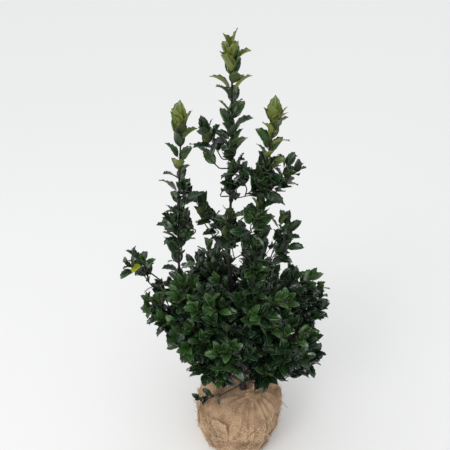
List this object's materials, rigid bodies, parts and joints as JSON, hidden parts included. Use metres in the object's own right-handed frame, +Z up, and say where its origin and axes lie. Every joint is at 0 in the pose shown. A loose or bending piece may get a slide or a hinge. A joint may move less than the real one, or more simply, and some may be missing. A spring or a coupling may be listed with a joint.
{
  "type": "blue holly shrub on a root ball",
  "caption": "Evergreen blue holly shrub with upright leading shoots and a bushy crown of glossy toothed leaves, standing on a hessian-wrapped root ball.",
  "frame": {"origin": "centre of the root ball's flat underside, where the plant stands", "axes": "+Z up along the trunk to the top leaf; +X to the right and +Y away as seen from the front"},
  "size_m": [0.456, 0.3403, 1.038],
  "materials": {
    "leaf_dark": "satin",
    "leaf_mid": "satin",
    "leaf_new": "satin",
    "bark": "matte",
    "hessian": "matte",
    "root_ball_hessian": "matte"
  },
  "bodies": {
    "root": {"bough_back": "bark", "bough_back_high": "bark", "bough_back_left": "bark", "bough_back_left_high": "bark", "bough_back_right": "bark", "bough_diagonal": "bark", "bough_front": "bark", "bough_front_left": "bark", "bough_front_right": "bark", "bough_left_low": "bark", "bough_low_sprig": "bark", "bough_outer_left": "bark", "bough_right_low": "bark", "bough_right_middle": "bark", "foliage_centre_low": "leaf_mid", "foliage_centre_middle": "leaf_mid", "foliage_centre_top": "leaf_new", "foliage_centre_upper": "leaf_mid", "foliage_left_middle": "leaf_mid", "foliage_left_top": "leaf_new", "foliage_left_upper": "leaf_mid", "foliage_lower_back_left": "leaf_dark", "foliage_lower_back_right": "leaf_dark", "foliage_lower_front_left": "leaf_dark", "foliage_lower_front_right": "leaf_dark", "foliage_lower_left": "leaf_dark", "foliage_lower_right": "leaf_dark", "foliage_middle_back": "leaf_dark", "foliage_middle_back_left": "leaf_dark", "foliage_middle_back_right": "leaf_dark", "foliage_middle_front": "leaf_dark", "foliage_middle_front_left": "leaf_dark", "foliage_middle_front_right": "leaf_dark", "foliage_middle_left": "leaf_dark", "foliage_middle_right": "leaf_dark", "foliage_right_low": "leaf_mid", "foliage_right_middle": "leaf_mid", "foliage_right_top": "leaf_new", "foliage_right_upper": "leaf_mid", "foliage_shoot_high_left": "leaf_mid", "foliage_shoot_high_right": "leaf_mid", "foliage_shoot_inner_left": "leaf_mid", "foliage_shoot_low_front": "leaf_mid", "foliage_shoot_outer_left": "leaf_mid", "foliage_shoot_outer_right": "leaf_mid", "foliage_upper_back_left": "leaf_dark", "foliage_upper_back_right": "leaf_dark", "foliage_upper_front_left": "leaf_dark", "foliage_upper_front_right": "leaf_dark", "foliage_upper_left": "leaf_dark", "foliage_upper_right": "leaf_dark", "hessian_corner": "hessian", "hessian_neck": "hessian", "leader_left": "bark", "leader_right": "bark", "root_ball": "root_ball_hessian", "trunk": "bark"}
  },
  "joints": []
}
